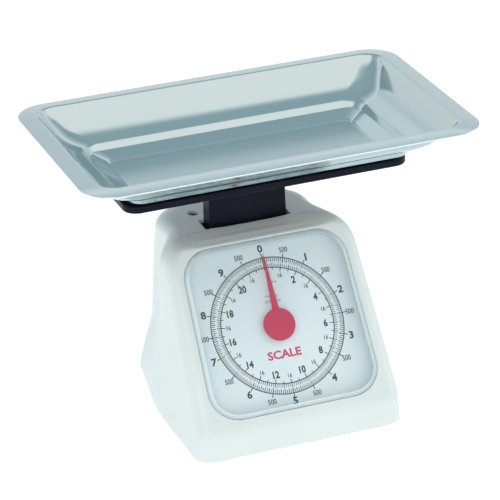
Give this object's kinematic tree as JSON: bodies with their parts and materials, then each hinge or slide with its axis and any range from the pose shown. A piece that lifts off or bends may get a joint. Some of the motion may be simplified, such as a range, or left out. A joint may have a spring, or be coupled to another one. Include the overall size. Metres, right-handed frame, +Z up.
{
  "type": "mechanical dial platform scale",
  "caption": "Mechanical counter scale: tapered plastic housing with a tilted round dial, a spring and lever platform mechanism, and a lift-off steel goods tray.",
  "frame": {"origin": "on the surface the feet stand on, below the centre of the tray", "axes": "+X to the right seen from the dial side, -Y out of the dial side, +Z up"},
  "size_m": [0.33, 0.208, 0.2446],
  "materials": {
    "white_abs": "moulded, satin gloss",
    "black_abs": "moulded, fine satin",
    "clear_lens": "clear polystyrene, polished",
    "dial_paint": "printed, semi-matt",
    "red_plastic": "moulded",
    "polished_stainless": "polished stainless sheet",
    "zinc_steel": "zinc plated sheet and wire",
    "brass": "machined",
    "rubber": "moulded"
  },
  "bodies": {
    "base_unit": {"housing_shell": "white_abs", "base_plate": "zinc_steel", "rubber_foot_1": "rubber", "rubber_foot_2": "rubber", "rubber_foot_3": "rubber", "rubber_foot_4": "rubber", "base_screw_1": "zinc_steel", "base_screw_2": "zinc_steel", "base_screw_3": "zinc_steel", "base_screw_4": "zinc_steel", "dial_plate": "dial_paint", "dial_lens": "clear_lens", "spindle_bracket": "zinc_steel", "front_bush": "brass", "rear_bush": "brass", "bracket_screw_1": "zinc_steel", "bracket_screw_2": "zinc_steel", "chassis": "zinc_steel", "chassis_screw_1": "zinc_steel", "chassis_screw_2": "zinc_steel", "chassis_screw_3": "zinc_steel", "chassis_screw_4": "zinc_steel", "upper_pivot_rod": "zinc_steel", "lower_pivot_rod": "zinc_steel", "overload_bumper": "rubber", "anchor_guide_pin": "zinc_steel", "spring_left": "zinc_steel", "spring_right": "zinc_steel"},
    "carriage_unit": {"carriage": "zinc_steel", "upper_carriage_pin": "zinc_steel", "lower_carriage_pin": "zinc_steel", "rack": "brass", "rack_screw": "zinc_steel", "column": "black_abs", "column_screw_1": "zinc_steel", "column_screw_2": "zinc_steel", "support_plate": "black_abs", "platform_screw_1": "zinc_steel", "platform_screw_2": "zinc_steel", "platform_screw_3": "zinc_steel", "platform_screw_4": "zinc_steel"},
    "upper_lever_unit": {"upper_lever": "zinc_steel"},
    "lower_lever_unit": {"lower_lever": "zinc_steel"},
    "pointer_unit": {"pointer": "red_plastic", "spindle": "zinc_steel", "pinion": "brass"},
    "zero_screw_unit": {"zero_screw": "brass"},
    "spring_anchor_unit": {"spring_anchor": "zinc_steel"},
    "tray_unit": {"tray": "polished_stainless"}
  },
  "joints": [
    {"name": "platform_travel", "type": "slide", "parent": "base_unit", "child": "carriage_unit", "axis": [0, 0, -1], "range_m": [0, 0.01894], "stiffness_N_per_m": 5178, "springref_m": -0.00185, "deforming": ["spring_left", "spring_right"]},
    {"name": "upper_lever_turn", "type": "hinge", "parent": "base_unit", "child": "upper_lever_unit", "pos_m": [0, 0.06, 0.104], "axis": [1, 0, 0], "range_deg": [0, 19.6]},
    {"name": "lower_lever_turn", "type": "hinge", "parent": "base_unit", "child": "lower_lever_unit", "pos_m": [0, 0.06, 0.044], "axis": [1, 0, 0], "range_deg": [0, 19.6]},
    {"name": "pointer_turn", "type": "hinge", "parent": "base_unit", "child": "pointer_unit", "pos_m": [0, -0.0545, 0.086], "axis": [0, 0.829, -0.5592], "range_deg": [0, 361]},
    {"name": "zero_screw_turn", "type": "hinge", "parent": "base_unit", "child": "zero_screw_unit", "pos_m": [-0.035, 0.039, 0.14], "axis": [0, 0, 1], "range_deg": [-541, 541]},
    {"name": "anchor_travel", "type": "slide", "parent": "base_unit", "child": "spring_anchor_unit", "axis": [0, 0, 1], "range_m": [-0.00105, 0.00105]},
    {"name": "tray_lift", "type": "slide", "parent": "carriage_unit", "child": "tray_unit", "axis": [0, 0, 1], "range_m": [0, 0.03]}
  ],
  "couplings": [
    {"joint": "upper_lever_turn", "follows": "platform_travel", "rad_per_m": 17.857},
    {"joint": "lower_lever_turn", "follows": "platform_travel", "rad_per_m": 17.857},
    {"joint": "pointer_turn", "follows": "platform_travel", "rad_per_m": 331.62},
    {"joint": "zero_screw_turn", "follows": "anchor_travel", "rad_per_m": 8976}
  ]
}
